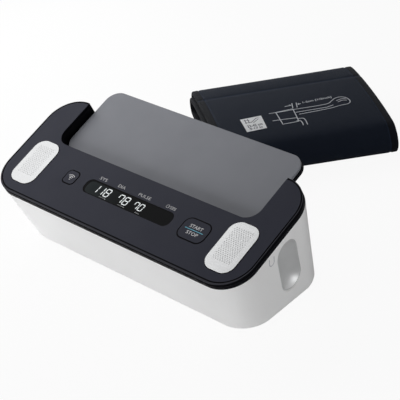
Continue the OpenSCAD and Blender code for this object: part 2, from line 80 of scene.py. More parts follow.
Colour = tuple[float, float, float]
Point = tuple[float, float]
Socket = bpy.types.NodeSocket


class Slot(Enum):
    """The record's material slots."""
    CASE = "case_white"
    BAND = "band_black"
    COVER = "cover_dark"
    PLATE = "plate_grey"
    ELECTRODE = "electrode_steel"
    WINDOW = "window_black"
    INNER = "inner_plastic"
    BOARD = "board_green"
    CELL = "cell_can"
    SPRING = "spring_steel"
    RUBBER = "foot_rubber"
    MOTOR = "motor_can"
    BRASS = "crank_brass"
    SCREW = "screw_steel"
    CLOTH = "cuff_cloth"
    RING = "ring_metal"


@dataclass(frozen=True)
class Box:
    """A rectangle in millimetres on a face."""
    left: float
    right: float
    low: float
    high: float


# ---- frames: millimetres on a face to metres in the shared frame ----

def cover_frame(rise: float = 0.0) -> Matrix:
    """The sloping cover: X across, Y up the slope from the front edge.

    Args:
        rise: height above the face.
    Returns:
        The matrix.
    """
    place = Matrix.Translation(COVER_EDGE) @ Matrix.Rotation(COVER_SLOPE, 4, "X")
    return place @ Matrix.Scale(MM, 4) @ Matrix.Translation((0, 0, rise))


def end_frame(y: float, z: float) -> Matrix:
    """The right end wall: X to the back, Y up the wall.

    Args:
        y: the frame's place along the wall.
        z: its height above the table.
    Returns:
        The matrix.
    """
    sine, cosine = math.sin(WALL_LEAN), math.cos(WALL_LEAN)
    x = WALL_FOOT[0] + (z - WALL_FOOT[1])*math.tan(WALL_LEAN)
    axes = Matrix(((0, sine, cosine, 0), (1, 0, 0, 0), (0, cosine, -sine, 0), (0, 0, 0, 1)))
    return Matrix.Translation(Vector((x, y, z))*MM) @ axes @ Matrix.Scale(MM, 4)


def cuff_frame() -> Matrix:
    """The roll's frame: X along the roll, Y to its back, Z up from the table."""
    return Matrix.Translation(CUFF_PLACE) @ Matrix.Rotation(CUFF_TURN, 4, "Z") @ Matrix.Scale(MM, 4)


# ---- finishes ----

class Wiring:
    """One material and the nodes that feed its shader."""

    def __init__(self, name: str) -> None:
        """Starts a material.

        Args:
            name: the material's name.
        """
        self.material = bpy.data.materials.new(name)
        self.material.use_nodes = True
        self.tree = self.material.node_tree
        self.shader = self.tree.nodes["Principled BSDF"]

    def add(self, kind: str, inputs: dict[str | int, object] | None = None,
            **settings: object) -> bpy.types.Node:
        """Adds a node.

        Args:
            kind: the node's type, without its ShaderNode beginning.
            inputs: a value or another node's socket for each input.
            settings: the node's own properties.
        Returns:
            The node.
        """
        node = self.tree.nodes.new("ShaderNode" + kind)
        for key, value in settings.items():
            setattr(node, key, value)
        for key, value in (inputs or {}).items():
            self.feed(node.inputs[key], value)
        return node

    def feed(self, socket: Socket, value: object) -> None:
        """Links another node's socket to this one, or sets its value.

        Args:
            socket: the input.
            value: a socket or a constant.
        """
        if isinstance(value, bpy.types.NodeSocket):
            self.tree.links.new(value, socket)
        else:
            socket.default_value = value

    def place(self) -> Socket:
        """Object coordinates, in metres."""
        return self.add("TexCoord").outputs["Object"]

    def moved(self, at: Vector, turn: Colour = (0, 0, 0), scale: Colour = (MM, MM, MM)) -> Socket:
        """Object coordinates in another frame.

        Args:
            at: that frame's origin, in metres.
            turn: its rotation.
            scale: its unit along each axis, in metres.
        Returns:
            The coordinates.
        """
        inputs = {"Vector": self.place(), "Location": at, "Rotation": turn, "Scale": scale}
        return self.add("Mapping", inputs, vector_type="TEXTURE").outputs[0]

    def on_cover(self) -> list[Socket]:
        """Millimetres across the cover, up its slope and out of its face."""
        return list(self.add("SeparateXYZ", {0: self.moved(COVER_EDGE, (COVER_SLOPE, 0, 0))}).outputs)

    def sum(self, kind: str, *values: object) -> Socket:
        """A Math node.

        Args:
            kind: its operation.
            values: its inputs in order.
        Returns:
            The result.
        """
        return self.add("Math", dict(enumerate(values)), operation=kind).outputs[0]

    def noise(self, where: Socket, scale: float, detail: float = 2.0) -> Socket:
        """Noise from 0 to 1 with that many lumps to the unit."""
        inputs = {"Vector": where, "Scale": scale, "Detail": detail, "Roughness": 0.55}
        return self.add("TexNoise", inputs).outputs["Fac"]

    def span(self, value: Socket, low: float, high: float, to_low: float = 0.0,
             to_high: float = 1.0) -> Socket:
        """The value stretched from one range to another and held inside it."""
        return self.add("MapRange", {0: value, 1: low, 2: high, 3: to_low, 4: to_high}).outputs[0]

    def mix(self, share: Socket, first: object, second: object) -> Socket:
        """A colour between two.

        Args:
            share: how much of the second.
            first: a colour or a socket.
            second: a colour or a socket.
        Returns:
            The colour.
        """
        pair = [(*c, 1.0) if isinstance(c, tuple) else c for c in (first, second)]
        return self.add("Mix", {0: share, 6: pair[0], 7: pair[1]}, data_type="RGBA").outputs[2]

    def mottled(self, where: Socket, scale: float, colour: Colour, amount: float) -> Socket:
        """A colour that is a little darker and lighter from place to place.

        Args:
            where: the coordinates.
            scale: how many lumps there are to the unit.
            colour: the middle colour.
            amount: how far it strays, as a share.
        Returns:
            The colour.
        """
        share = self.span(self.noise(where, scale, 3.0), 0.3, 0.7)
        dark, light = (tuple(min(1.0, c*k) for c in colour) for k in (1 - amount, 1 + amount))
        return self.mix(share, dark, light)

    def bump(self, height: Socket, depth: float, under: Socket | None = None) -> Socket:
        """A bump of that depth in millimetres.

        Args:
            height: the pattern.
            depth: how deep it is.
            under: a coarser bump that it lies on.
        Returns:
            The normal.
        """
        inputs: dict[str | int, object] = {"Height": height, "Distance": depth*MM, "Strength": 1.0}
        if under is not None:
            inputs["Normal"] = under
        return self.add("Bump", inputs).outputs[0]

    def dress(self, **sockets: object) -> bpy.types.Material:
        """Feeds the shader.

        Args:
            sockets: what goes into each input, with _ for a space.
        Returns:
            The material.
        """
        for key, value in sockets.items():
            self.feed(self.shader.inputs[key.replace("_", " ")], value)
        return self.material


@dataclass(frozen=True)
class MouldedPlastic:
    """Injection-moulded plastic with a fine spark-eroded grain."""
    name: str
    colour: Colour
    roughness: float = 0.5
    grain: float = 0.35
    depth: float = 0.02
    mottle: float = 0.04
    specular: float = 0.5

    def make(self) -> bpy.types.Material:
        """Wires the finish.

        Returns:
            The material.
        """
        w = Wiring(self.name)
        where = w.place()
        rough = w.span(w.noise(where, 70, 3.0), 0.3, 0.7, self.roughness - 0.05, self.roughness + 0.05)
        wave = w.bump(w.noise(where, 45), 0.05)
        normal = w.bump(w.noise(where, 1000/self.grain), self.depth, wave)
        colour = w.mottled(where, 22, self.colour, self.mottle)
        return w.dress(Base_Color=colour, Roughness=rough, Normal=normal, Specular_IOR_Level=self.specular)


@dataclass(frozen=True)
class Outline:
    """A round-cornered rectangle on the cover, in millimetres."""
    x: float
    y: float
    width: float
    length: float
    radius: float
    line: float = 0.5

    def distance(self, w: Wiring, x: Socket, y: Socket) -> Socket:
        """How far a point lies outside the outline, less than 0 inside it.

        Args:
            w: the material.
            x: the point's place across the cover.
            y: its place up the slope.
        Returns:
            The distance.
        """
        qx, qy = (w.sum("SUBTRACT", w.sum("ABSOLUTE", w.sum("SUBTRACT", at, middle)), size/2 - self.radius)
                  for at, middle, size in ((x, self.x, self.width), (y, self.y, self.length)))
        ox, oy = (w.sum("POWER", w.sum("MAXIMUM", q, 0.0), 2.0) for q in (qx, qy))
        outside = w.sum("SUBTRACT", w.sum("SQRT", w.sum("ADD", ox, oy)), self.radius)
        return w.sum("ADD", outside, w.sum("MINIMUM", w.sum("MAXIMUM", qx, qy), 0.0))


@dataclass(frozen=True)
class CoverPlastic:
    """The dark cover: grained plastic with painted shade, black, in its groove and gaps, with a rim colour outside
    the groove.
    """
    name: str
    colour: Colour
    rim: Colour
    roughness: float = 0.42
    specular: float = 0.05
    groove: Outline = Outline(0, 51.5, 271.8, 99.8, 25.4)
    gaps: tuple[Outline, ...] = (
        Outline(71.7, 33.1, 26.0, 18.8, 6.3), Outline(-65.4, 33.1, 13.0, 13.0, 3.8),
        Outline(109.7, 32.7, 27.3, 44.3, 9.6, 0.3), Outline(-109.7, 32.7, 27.3, 44.3, 9.6, 0.3))

    def make(self) -> bpy.types.Material:
        """Wires the finish.

        Returns:
            The material.
        """
        w = Wiring(self.name)
        where = w.place()
        x, y, z = w.on_cover()
        edge = self.groove.distance(w, x, y)
        # painted shade: black along the groove, on faces sunk below the cover's face and in the gaps round the
        # buttons and pads
        black = w.span(w.sum("ABSOLUTE", w.sum("ADD", edge, 0.4)), 0.5, 0.65, 1.0, 0.0)
        black = w.sum("MAXIMUM", black, w.span(z, -0.5, -0.2, 1.0, 0.0))
        for gap in self.gaps:
            near = w.sum("ABSOLUTE", gap.distance(w, x, y))
            black = w.sum("MAXIMUM", black, w.span(near, gap.line, gap.line + 0.15, 1.0, 0.0))
        body = w.mix(w.span(edge, -0.05, 0.05), w.mottled(where, 22, self.colour, 0.05), self.rim)
        rough = w.span(w.noise(where, 70, 3.0), 0.3, 0.7, self.roughness - 0.05, self.roughness + 0.05)
        grain = w.bump(w.noise(where, 3200), 0.02, w.bump(w.noise(where, 45), 0.05))
        rough = w.sum("MAXIMUM", rough, w.sum("MULTIPLY", black, 0.8))
        return w.dress(Base_Color=w.mix(black, body, PAINTED_GAP_SHADE), Normal=grain, Roughness=rough,
                       Specular_IOR_Level=self.specular)


@dataclass(frozen=True)
class WindowGloss:
    """The display window: gloss over a black border and a dark panel, with a painted reflection that lightens the
    panel towards its left, and wipe marks in the gloss.
    """
    name: str
    border: Colour
    # the panel's colour where the painted reflection is strongest
    panel: Colour
    outline: Outline = Outline(1.0, 32.3, 92.8, 11.6, 4.6)

    def make(self) -> bpy.types.Material:
        """Wires the finish.

        Returns:
            The material.
        """
        w = Wiring(self.name)
        x, y, _ = w.on_cover()
        inside = w.span(self.outline.distance(w, x, y), -0.3, 0.1, 1.0, 0.0)
        # painted reflection: the panel is lightest at its left and fades to nearly the border's black by its middle
        lit = w.sum("MULTIPLY", inside, w.span(x, -50.0, 0.0, 1.0, 0.05))
        streaks = w.noise(w.moved(Vector((0, 0, 0)), (0, 0, 0.5), (0.02, 0.002, 0.02)), 1.0, 4.0)
        panel = w.mottled(w.place(), 60, self.panel, 0.1)
        return w.dress(Base_Color=w.mix(lit, self.border, panel), Specular_IOR_Level=0.02,
                       Roughness=w.span(streaks, 0.35, 0.75, 0.08, 0.14))


@dataclass(frozen=True)
class BareMetal:
    """Rolled, turned or drawn metal with fine marks along one direction."""
    name: str
    colour: Colour
    roughness: float = 0.3
    marks: Colour = (0.02, 0.0004, 0.0004)
    depth: float = 0.004
    metal: float = 1.0

    def make(self) -> bpy.types.Material:
        """Wires the finish.

        Returns:
            The material.
        """
        w = Wiring(self.name)
        lines = w.noise(w.moved(Vector((0, 0, 0)), (0, 0, 0), self.marks), 1.0, 3.0)
        rough = w.span(lines, 0.3, 0.7, self.roughness - 0.06, self.roughness + 0.06)
        return w.dress(Base_Color=w.mottled(w.place(), 60, self.colour, 0.03), Roughness=rough,
                       Metallic=self.metal, Normal=w.bump(lines, self.depth))


@dataclass(frozen=True)
class DimpledSteel:
    """The top electrodes: satin steel with rows of fine dimples in the middle of each pad."""
    name: str
    colour: Colour
    roughness: float = 0.22
    pad_x: float = 109.8
    pad_y: float = 34.3
    half_x: float = 8.6
    half_y: float = 14.6
    across: float = 2.2
    along: float = 1.6
    dot: float = 0.3
    darker: float = 0.72

    def make(self) -> bpy.types.Material:
        """Wires the finish.

        Returns:
            The material.
        """
        w = Wiring(self.name)
        x, y, _ = w.on_cover()
        row = w.sum("FLOOR", w.sum("DIVIDE", y, self.along))
        shift = w.sum("MULTIPLY", w.sum("MODULO", row, 2.0), self.across/2)
        dx = w.sum("SUBTRACT", w.sum("WRAP", w.sum("ADD", x, shift), self.across, 0.0), self.across/2)
        dy = w.sum("SUBTRACT", w.sum("WRAP", y, self.along, 0.0), self.along/2)
        near = w.sum("SQRT", w.sum("ADD", w.sum("POWER", dx, 2.0), w.sum("POWER", dy, 2.0)))
        dot = w.span(near, self.dot, self.dot + 0.25, 1.0, 0.0)
        aside = w.sum("ABSOLUTE", w.sum("SUBTRACT", w.sum("ABSOLUTE", x), self.pad_x))
        ahead = w.sum("ABSOLUTE", w.sum("SUBTRACT", y, self.pad_y))
        inside = w.sum("MULTIPLY", w.span(aside, self.half_x, self.half_x + 0.4, 1.0, 0.0),
                       w.span(ahead, self.half_y, self.half_y + 0.6, 1.0, 0.0))
        dimple = w.sum("MULTIPLY", dot, inside)
        brushed = w.noise(w.moved(Vector((0, 0, 0)), (0, 0, 0), (0.012, 0.0004, 0.0004)), 1.0, 3.0)
        dark = tuple(c*self.darker for c in self.colour)
        colour = w.mix(dimple, w.mottled(w.place(), 60, self.colour, 0.02), dark)
        rough = w.span(brushed, 0.3, 0.7, self.roughness - 0.05, self.roughness + 0.05)
        normal = w.bump(w.sum("MULTIPLY", dimple, -1.0), 0.12, w.bump(brushed, 0.003))
        return w.dress(Base_Color=colour, Roughness=rough, Metallic=0.7, Normal=normal)


@dataclass(frozen=True)
class Rubber:
    """Dull moulded rubber."""
    name: str
    colour: Colour

    def make(self) -> bpy.types.Material:
        """Wires the finish.

        Returns:
            The material.
        """
        w = Wiring(self.name)
        where = w.place()
        return w.dress(Base_Color=w.mottled(where, 150, self.colour, 0.12), Specular_IOR_Level=0.3,
                       Roughness=w.span(w.noise(where, 400), 0.3, 0.7, 0.7, 0.85),
                       Normal=w.bump(w.noise(where, 2600), 0.03))


@dataclass(frozen=True)
class CircuitBoard:
    """Green solder mask over copper tracks."""
    name: str
    colour: Colour

    def make(self) -> bpy.types.Material:
        """Wires the finish.

        Returns:
            The material.
        """
        w = Wiring(self.name)
        where = w.place()
        inputs = {"Vector": where, "Scale": 260.0, "Randomness": 0.6}
        cells = w.add("TexVoronoi", inputs, distance="CHEBYCHEV", feature="F1").outputs["Distance"]
        track = w.span(w.sum("PINGPONG", cells, 0.22), 0.15, 0.18)
        lighter = tuple(c*1.9 for c in self.colour)
        colour = w.mix(track, w.mottled(where, 80, self.colour, 0.1), lighter)
        return w.dress(Base_Color=colour, Roughness=w.span(track, 0.0, 1.0, 0.3, 0.4),
                       Normal=w.bump(track, 0.03))


@dataclass(frozen=True)
class CellJacket:
    """A battery cell's printed jacket: a dark body and a copper-toned shoulder."""
    name: str
    body: Colour
    shoulder: Colour
    shoulder_x: float = 36.5

    def make(self) -> bpy.types.Material:
        """Wires the finish.

        Returns:
            The material.
        """
        w = Wiring(self.name)
        where = w.moved(Vector((0, 0, 0)))
        x = w.sum("ABSOLUTE", w.add("SeparateXYZ", {0: where}).outputs[0])
        share = w.span(x, self.shoulder_x, self.shoulder_x + 0.3)
        colour = w.mix(share, w.mottled(w.place(), 120, self.body, 0.1), self.shoulder)
        rings = w.noise(w.moved(Vector((0, 0, 0)), (0, 0, 0), (0.0002, 0.01, 0.01)), 1.0)
        return w.dress(Base_Color=colour, Metallic=0.6, Roughness=w.span(rings, 0.3, 0.7, 0.28, 0.4))


@dataclass(frozen=True)
class WovenNylon:
    """The cuff's cloth on its own map in millimetres: a tight weave, sewn lines with thread, a darker binding."""
    name: str
    colour: Colour
    binding: Colour
    half: float
    band: float
    seams: tuple[float, ...]
    pitch: float = 0.55
    stitch: float = 1.6

    def make(self) -> bpy.types.Material:
        """Wires the finish.

        Returns:
            The material.
        """
        w = Wiring(self.name)
        uv = w.add("UVMap", uv_map="cloth").outputs[0]
        x, y, _ = w.add("SeparateXYZ", {0: uv}).outputs
        over = w.sum("ABSOLUTE", w.sum("SINE", w.sum("MULTIPLY", x, math.pi/self.pitch)))
        under = w.sum("ABSOLUTE", w.sum("SINE", w.sum("MULTIPLY", y, math.pi/self.pitch)))
        check = w.add("TexChecker", {"Vector": uv, "Scale": 1/self.pitch}).outputs["Fac"]
        weave = w.add("Mix", {0: check, 2: over, 3: under}, data_type="FLOAT").outputs[0]
        edge = w.sum("SUBTRACT", self.half, w.sum("ABSOLUTE", x))
        bound = w.span(edge, self.band - 0.2, self.band + 0.2, 1.0, 0.0)
        seam = w.span(w.sum("ABSOLUTE", w.sum("SUBTRACT", edge, self.band + 0.7)), 0.2, 0.45, 1.0, 0.0)
        thread = w.sum("MULTIPLY", seam, w.span(w.sum("PINGPONG", y, self.stitch), 0.25, 0.45))
        for at in self.seams:
            line = w.span(w.sum("ABSOLUTE", w.sum("SUBTRACT", y, at)), 0.25, 0.5, 1.0, 0.0)
            stitches = w.span(w.sum("PINGPONG", x, self.stitch), 0.25, 0.45)
            thread = w.sum("MAXIMUM", thread, w.sum("MULTIPLY", line, stitches))
        flecks = w.noise(uv, 0.9, 4.0)
        light, dark = (tuple(c*k for c in self.colour) for k in (1.7, 0.5))
        body = w.mix(w.span(flecks, 0.35, 0.75), self.colour, light)
        colour = w.mix(bound, w.mix(w.span(weave, 0.0, 0.5, 0.5, 0.0), body, dark), self.binding)
        colour = w.mix(thread, colour, tuple(c*1.6 for c in light))
        height = w.sum("ADD", weave, w.sum("MULTIPLY", thread, 2.0))
        normal = w.bump(height, 0.07, w.bump(w.noise(uv, 0.12, 3.0), 0.25))
        rough = w.span(flecks, 0.3, 0.7, 0.62, 0.78)
        return w.dress(Base_Color=colour, Roughness=rough, Normal=normal, Specular_IOR_Level=0.08,
                       Sheen_Weight=0.04, Sheen_Roughness=0.4)


@dataclass(frozen=True)
class Ink:
    """Screen-printed ink, slightly uneven."""
    name: str
    colour: Colour
    roughness: float = 0.45

    def make(self) -> bpy.types.Material:
        """Wires the finish.

        Returns:
            The material.
        """
        w = Wiring(self.name)
        where = w.place()
        rough = w.span(w.noise(where, 500), 0.3, 0.7, self.roughness - 0.05, self.roughness + 0.05)
        return w.dress(Base_Color=w.mottled(where, 900, self.colour, 0.05), Specular_IOR_Level=0.3,
                       Roughness=rough)


@dataclass(frozen=True)
class LitFigure:
    """A lit display segment whose glow is a little stronger in some places than in others."""
    name: str
    colour: Colour
    strength: float = 0.9

    def make(self) -> bpy.types.Material:
        """Wires the finish.

        Returns:
            The material.
        """
        w = Wiring(self.name)
        glow = w.mottled(w.place(), 1200, self.colour, 0.05)
        rough = w.span(w.noise(w.place(), 300), 0.3, 0.7, 0.35, 0.45)
        return w.dress(Base_Color=(0.02, 0.02, 0.02, 1.0), Emission_Color=glow,
                       Emission_Strength=self.strength, Roughness=rough)


@dataclass(frozen=True)
class WovenLabel:
    """A woven satin label."""
    name: str
    colour: Colour

    def make(self) -> bpy.types.Material:
        """Wires the finish.

        Returns:
            The material.
        """
        w = Wiring(self.name)
        where = w.moved(CUFF_PLACE, (0, 0, CUFF_TURN), (0.0003, 0.0003, 0.0003))
        inputs = {"Vector": where, "Scale": 0.35, "Distortion": 0.6}
        lines = w.add("TexWave", inputs, bands_direction="Y").outputs["Fac"]
        return w.dress(Base_Color=w.mottled(w.place(), 300, self.colour, 0.06), Sheen_Weight=0.2,
                       Roughness=w.span(lines, 0.0, 1.0, 0.5, 0.65), Normal=w.bump(lines, 0.03))


Finish = MouldedPlastic | CoverPlastic | WindowGloss | BareMetal | Rubber | CircuitBoard | CellJacket


# ---- shared mesh work ----

def settle(name: str, bm: bmesh.types.BMesh, place: Matrix, finish: bpy.types.Material,
           body: str, smooth: bool = False) -> bpy.types.Object:
    """Makes a piece of a bmesh, in place, dressed and riding on its body.

    Args:
        name: the piece's name.
        bm: the shape, which is freed.
        place: from the shape's own frame to the shared one.
        finish: its material.
        body: the body that it moves with.
        smooth: whether its faces are shaded smooth.
    Returns:
        The object.
    """
    bmesh.ops.transform(bm, matrix=place, verts=bm.verts)
    bmesh.ops.recalc_face_normals(bm, faces=bm.faces)
    mesh = bpy.data.meshes.new(name)
    bm.to_mesh(mesh)
    bm.free()
    for face in mesh.polygons:
        face.use_smooth = smooth
    mesh.materials.append(finish)
    piece = bpy.data.objects.new(name, mesh)
    bpy.context.scene.collection.objects.link(piece)
    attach(piece, body)
    log.info("%s: %d faces, rides on %s", name, len(mesh.polygons), body)
    return piece


def raised(bm: bmesh.types.BMesh, height: float) -> None:
    """Gives flat faces a thickness.

    Args:
        bm: the faces.
        height: the thickness, along Z.
    """
    top = bmesh.ops.extrude_face_region(bm, geom=bm.faces[:])["geom"]
    bmesh.ops.translate(bm, vec=(0, 0, height), verts=[v for v in top if isinstance(v, bmesh.types.BMVert)])


def take_curve(bm: bmesh.types.BMesh, curve: bpy.types.Curve, change: Matrix | None = None,
               box: Box | None = None) -> None:
    """Adds a curve's or text's mesh to a bmesh.

    Args:
        bm: the bmesh.
        curve: the curve.
        change: what turns and scales it.
        box: the rectangle that it is stretched to fill.
    """
    holder = bpy.data.objects.new("outline", curve)
    bpy.context.scene.collection.objects.link(holder)
    bpy.context.view_layer.update()
    mesh = bpy.data.meshes.new_from_object(holder.evaluated_get(bpy.context.evaluated_depsgraph_get()))
    bpy.data.objects.remove(holder)
    if box is not None:
        xs, ys = [v.co.x for v in mesh.vertices], [v.co.y for v in mesh.vertices]
        sx, sy = (box.right - box.left)/(max(xs) - min(xs)), (box.high - box.low)/(max(ys) - min(ys))
        change = Matrix.Translation((box.left, box.low, 0)) @ Matrix.Diagonal((sx, sy, 1, 1))
        change = change @ Matrix.Translation((-min(xs), -min(ys), 0))
    if change is not None:
        mesh.transform(change)
    bm.from_mesh(mesh)
    bpy.data.meshes.remove(mesh)


def add_words(bm: bmesh.types.BMesh, words: str, box: Box, weight: float = 0.012) -> None:
    """Adds lettering.

    Args:
        bm: the bmesh.
        words: the text.
        box: the rectangle that its letters fill.
        weight: how far the letters are fattened.
    """
    text = bpy.data.curves.new("words", "FONT")
    text.body, text.extrude, text.offset, text.resolution_u = words, 0.02, weight, 4
    take_curve(bm, text, box=box)


def add_lines(bm: bmesh.types.BMesh, lines: list[list[Point]], width: float, flat: float = 0.12) -> None:
    """Adds drawn lines with round ends.

    Args:
        bm: the bmesh.
        lines: each line's points.
        width: the pen's width.
        flat: how thick a line is, as a share of its width.
    """
    curve = bpy.data.curves.new("lines", "CURVE")
    curve.dimensions, curve.use_fill_caps = "3D", True
    curve.bevel_depth, curve.bevel_resolution = width/2, 2
    for line in lines:
        spline = curve.splines.new("POLY")
        spline.points.add(len(line) - 1)
        for point, (x, y) in zip(spline.points, line):
            point.co = (x, y, 0, 1)
    take_curve(bm, curve, Matrix.Diagonal((1, 1, flat, 1)))


def arc(x: float, y: float, radius: float, start: float, end: float, steps: int) -> list[Point]:
    """Points on an arc, its angles in degrees."""
    angles = [math.radians(start + (end - start)*k/steps) for k in range(steps + 1)]
    return [(x + radius*math.cos(a), y + radius*math.sin(a)) for a in angles]


def dense(points: list[Point], step: float = 1.2) -> list[Point]:
    """Straight lines through points, cut into short pieces.

    Args:
        points: the points.
        step: the longest piece.
    Returns:
        The line's points.
    """
    out = []
    for a, b in zip(map(Vector, points), map(Vector, points[1:])):
        count = max(1, math.ceil((b - a).length/step))
        out += [tuple(a.lerp(b, k/count)) for k in range(count)]
    return out + [points[-1]]


def smoothed(points: list[Point], steps: int = 6) -> list[Point]:
    """A smooth line through points.

    Args:
        points: the points.
        steps: how many pieces lie between two of them.
    Returns:
        The line's points.
    """
    out = []
    for k in range(len(points) - 1):
        a, b, c, d = (Vector(points[min(max(k + j, 0), len(points) - 1)]) for j in (-1, 0, 1, 2))
        for i in range(steps):
            t = i/steps
            p = 0.5*(2*b + (c - a)*t + (2*a - 5*b + 4*c - d)*t*t + (3*b - a - 3*c + d)*t**3)
            out.append((p.x, p.y))
    return out + [points[-1]]


# ---- sub-assemblies ----

@dataclass
class Finishes:
    """Every material, made once."""
    made: dict[str, bpy.types.Material] = field(default_factory=dict)

    def of_slot(self, slot: Slot) -> bpy.types.Material:
        """The finish of a slot.

        Args:
            slot: the record's slot.
        Returns:
            Its material.
        """
        if slot.value not in self.made:
            self.made[slot.value] = self.recipe(slot).make()
        return self.made[slot.value]

    def recipe(self, slot: Slot) -> Finish:
        """The finish that a slot asks for.

        Args:
            slot: the record's slot.
        Returns:
            The finish.
        """
        return {
            Slot.CASE: MouldedPlastic("white_case", (0.90, 0.90, 0.902), 0.45, mottle=0.015, depth=0.012),
            Slot.BAND: MouldedPlastic("black_band", (0.004, 0.004, 0.0055), 0.45, specular=0.05),
            Slot.COVER: CoverPlastic("dark_cover", (0.0262, 0.0278, 0.0415), (0.032, 0.0325, 0.041)),
            Slot.PLATE: MouldedPlastic("grey_plate", (0.232, 0.239, 0.264), 0.5, 0.5, 0.03, specular=0.12),
            Slot.ELECTRODE: BareMetal("smooth_steel", (0.62, 0.625, 0.63), 0.5, metal=0.5),
            Slot.WINDOW: WindowGloss("display_window", (0.001, 0.001, 0.0015), (0.020, 0.026, 0.028)),
            Slot.INNER: MouldedPlastic("inner_plastic", (0.32, 0.32, 0.34), 0.6),
            Slot.BOARD: CircuitBoard("circuit_board", (0.012, 0.11, 0.045)),
            Slot.CELL: CellJacket("cell_jacket", (0.02, 0.02, 0.022), (0.55, 0.3, 0.12)),
            Slot.SPRING: BareMetal("spring_steel", (0.75, 0.74, 0.7), 0.25),
            Slot.RUBBER: Rubber("rubber", (0.03, 0.03, 0.032)),
            Slot.MOTOR: BareMetal("motor_can", (0.6, 0.6, 0.62), 0.35, (0.02, 0.001, 0.001)),
            Slot.BRASS: BareMetal("turned_brass", (0.78, 0.57, 0.25), 0.25, (0.0004, 0.02, 0.02)),
            Slot.SCREW: BareMetal("zinc_plate", (0.62, 0.62, 0.64), 0.4, (0.004, 0.004, 0.004)),
            Slot.CLOTH: Rubber("cloth_core", (0.012, 0.013, 0.02)),
            Slot.RING: BareMetal("bright_wire", (0.8, 0.8, 0.82), 0.15, (0.01, 0.001, 0.001)),
        }[slot]


@dataclass
class Body:
    """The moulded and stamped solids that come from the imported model."""
    frame: dict
    finishes: Finishes = field(default_factory=Finishes)

    def dress(self) -> None:
        """Gives every solid its finish."""
        slots = {part["node"]: Slot(part["material_slot"]) for part in self.frame["record"]["subparts"]}
        dimpled = DimpledSteel("dimpled_steel", (0.31, 0.313, 0.316)).make()
        for name, solid in self.frame["nodes"].items():
            pad = name.startswith("electrode_top")
            solid.data.materials.clear()
            solid.data.materials.append(dimpled if pad else self.finishes.of_slot(slots[name]))
            log.info("%s: %s", name, solid.data.materials[0].name)


@dataclass
class Figures:
    """The lit figures behind the display window and the printed names above it."""
    stroke: float = 0.7
    lean: float = 0.12
    thickness: float = 0.05
    segments: tuple[tuple[str, str], ...] = (("1", "bc"), ("8", "abcdefg"), ("7", "abcf"), ("0", "abcdef"))
    digits: tuple[tuple[str, Box], ...] = (
        ("1", Box(-37.4, -32.6, 29.0, 37.1)), ("1", Box(-31.4, -26.6, 29.0, 37.1)),
        ("8", Box(-25.0, -19.8, 29.1, 37.0)), ("7", Box(-10.2, -5.0, 29.1, 37.0)),
        ("8", Box(-3.7, 1.5, 29.1, 37.0)), ("7", Box(7.7, 12.1, 29.7, 36.4)), ("0", Box(13.2, 17.6, 29.7, 36.4)))
    units: tuple[tuple[str, Box], ...] = (
        ("mmHg", Box(-27.3, -19.6, 27.1, 28.1)), ("mmHg", Box(-5.9, 1.4, 27.1, 28.1)),
        ("/min", Box(12.9, 17.7, 27.1, 28.1)))
    names: tuple[tuple[str, Box], ...] = (
        ("SYS", Box(-39.4, -31.6, 41.5, 44.2)), ("DIA", Box(-18.4, -10.7, 41.5, 44.2)),
        ("PULSE", Box(4.4, 17.5, 41.5, 44.2)))
    sign: Point = (35.8, 42.9)

    def bar(self, bm: bmesh.types.BMesh, start: Point, end: Point, stroke: float) -> None:
        """Adds one segment with pointed ends.

        Args:
            bm: the bmesh.
            start: the tip that it starts from.
            end: the tip that it ends at.
            stroke: its width.
        """
        made = bmesh.ops.create_circle(bm, cap_ends=True, radius=1.0, segments=6)["verts"]
        line = Vector(end) - Vector(start)
        half = line.length/2
        for v in made:
            tip = abs(v.co.x) > 0.9
            v.co.x = math.copysign(half if tip else half - stroke/2, v.co.x)
            v.co.y = 0.0 if tip else math.copysign(stroke/2, v.co.y)
        middle = (Vector(start) + Vector(end))/2
        turn = Matrix.Rotation(math.atan2(line.y, line.x), 4, "Z")
        place = Matrix.Translation((middle.x, middle.y, 0)) @ turn
        bmesh.ops.transform(bm, matrix=place, verts=made)

    def digit(self, bm: bmesh.types.BMesh, figure: str, box: Box) -> None:
        """Adds one figure of up to seven segments.

        Args:
            bm: the bmesh.
            figure: the digit.
            box: the rectangle that it fills.
        """
        small = box.high - box.low < 7
        t = self.stroke*(0.85 if small else 1.0)
        l, r, b, h = box.left + t/2, box.right - t/2, box.low + t/2, box.high - t/2
        m = (box.low + box.high)/2
        ends = {"a": ((l, h), (r, h)), "b": ((r, h), (r, m)), "c": ((r, m), (r, b)), "d": ((l, b), (r, b)),
                "e": ((l, m), (l, b)), "f": ((l, h), (l, m)), "g": ((l, m), (r, m))}
        for name in dict(self.segments)[figure]:
            start, end = ((x + self.lean*(y - m), y) for x, y in ends[name])
            self.bar(bm, start, end, t)

    def light(self) -> None:
        """Makes the lit figures and the dim units under them."""
        face = cover_frame(WINDOW_FACE + INK_RISE)
        bm = bmesh.new()
        for figure, box in self.digits:
            self.digit(bm, figure, box)
        raised(bm, self.thickness)
        glow = LitFigure("lit_figure", (0.9, 0.95, 0.97)).make()
        settle("display_figures", bm, face, glow, "monitor")
        bm = bmesh.new()
        for words, box in self.units:
            add_words(bm, words, box, 0.0)
        glow = LitFigure("dim_unit", (0.5, 0.52, 0.53), 0.4).make()
        settle("display_units", bm, face, glow, "monitor")

    def name(self) -> None:
        """Prints the names over the window and the round sign at its right."""
        ink = Ink("white_ink", (0.5, 0.5, 0.51)).make()
        for words, box in self.names:
            bm = bmesh.new()
            add_words(bm, words, box, 0.0)
            settle("name_" + words.lower(), bm, cover_frame(INK_RISE), ink, "monitor")
        x, y = self.sign
        bm = bmesh.new()
        add_lines(bm, [arc(x, y, 1.4, 0, 360, 28), [(x + 0.6, y - 0.5), (x + 2.6, y + 1.0)]], 0.3)
        add_lines(bm, [[(x + 2.8, y + k), (x + 8.6, y + k)] for k in (-1.0, 0.0, 1.0)], 0.35)
        settle("round_sign", bm, cover_frame(INK_RISE), ink, "monitor")


